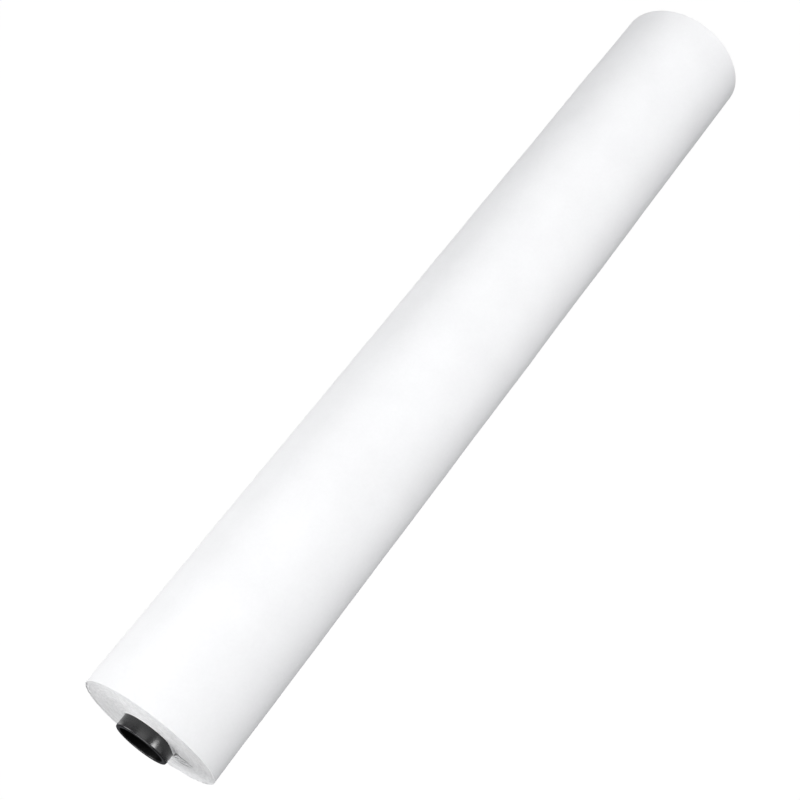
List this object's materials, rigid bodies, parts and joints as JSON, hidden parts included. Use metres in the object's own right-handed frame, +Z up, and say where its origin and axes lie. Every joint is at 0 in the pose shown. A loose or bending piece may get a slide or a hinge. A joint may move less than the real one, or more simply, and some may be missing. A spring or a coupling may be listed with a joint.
{
  "type": "backdrop paper roll",
  "caption": "Wide roll of seamless studio background paper wound on a board core, with a moulded crossbar bushing pushed into each end and a tail held down by tape.",
  "frame": {"origin": "on the core's axis, at the roll's mid length", "axes": "+X along the roll from the near end to the far end, +Y to the rear, +Z up"},
  "size_m": [1.386, 0.2, 0.199],
  "materials": {
    "web_paper": "matte white uncoated paper",
    "core_board": "spiral-wound solid board",
    "bushing_plastic": "moulded black, glossy",
    "starter_tape": "kraft paper tape",
    "closing_tape": "satin paper tape"
  },
  "bodies": {
    "roll": {"core_tube": "core_board", "paper_first_lap": "web_paper", "paper_windings": "web_paper", "paper_outer_lap": "web_paper", "starter_tape_1": "starter_tape", "starter_tape_2": "starter_tape", "starter_tape_3": "starter_tape"},
    "bushing_near": {"end_bushing_near": "bushing_plastic"},
    "bushing_far": {"end_bushing_far": "bushing_plastic"},
    "tail": {"paper_tail": "web_paper", "closing_tape_1": "closing_tape", "closing_tape_2": "closing_tape", "closing_tape_3": "closing_tape"}
  },
  "joints": [
    {"name": "bushing_near_pull", "type": "slide", "parent": "roll", "child": "bushing_near", "axis": [-1, 0, 0], "range_m": [0, 0.06]},
    {"name": "bushing_far_pull", "type": "slide", "parent": "roll", "child": "bushing_far", "axis": [1, 0, 0], "range_m": [0, 0.06]},
    {"name": "tail_lift", "type": "hinge", "parent": "roll", "child": "tail", "pos_m": [0, 0.09838, 0.01735], "axis": [1, 0, 0], "range_deg": [0, 75], "stiffness_Nm_per_rad": 0.03, "springref_deg": -28.65}
  ]
}
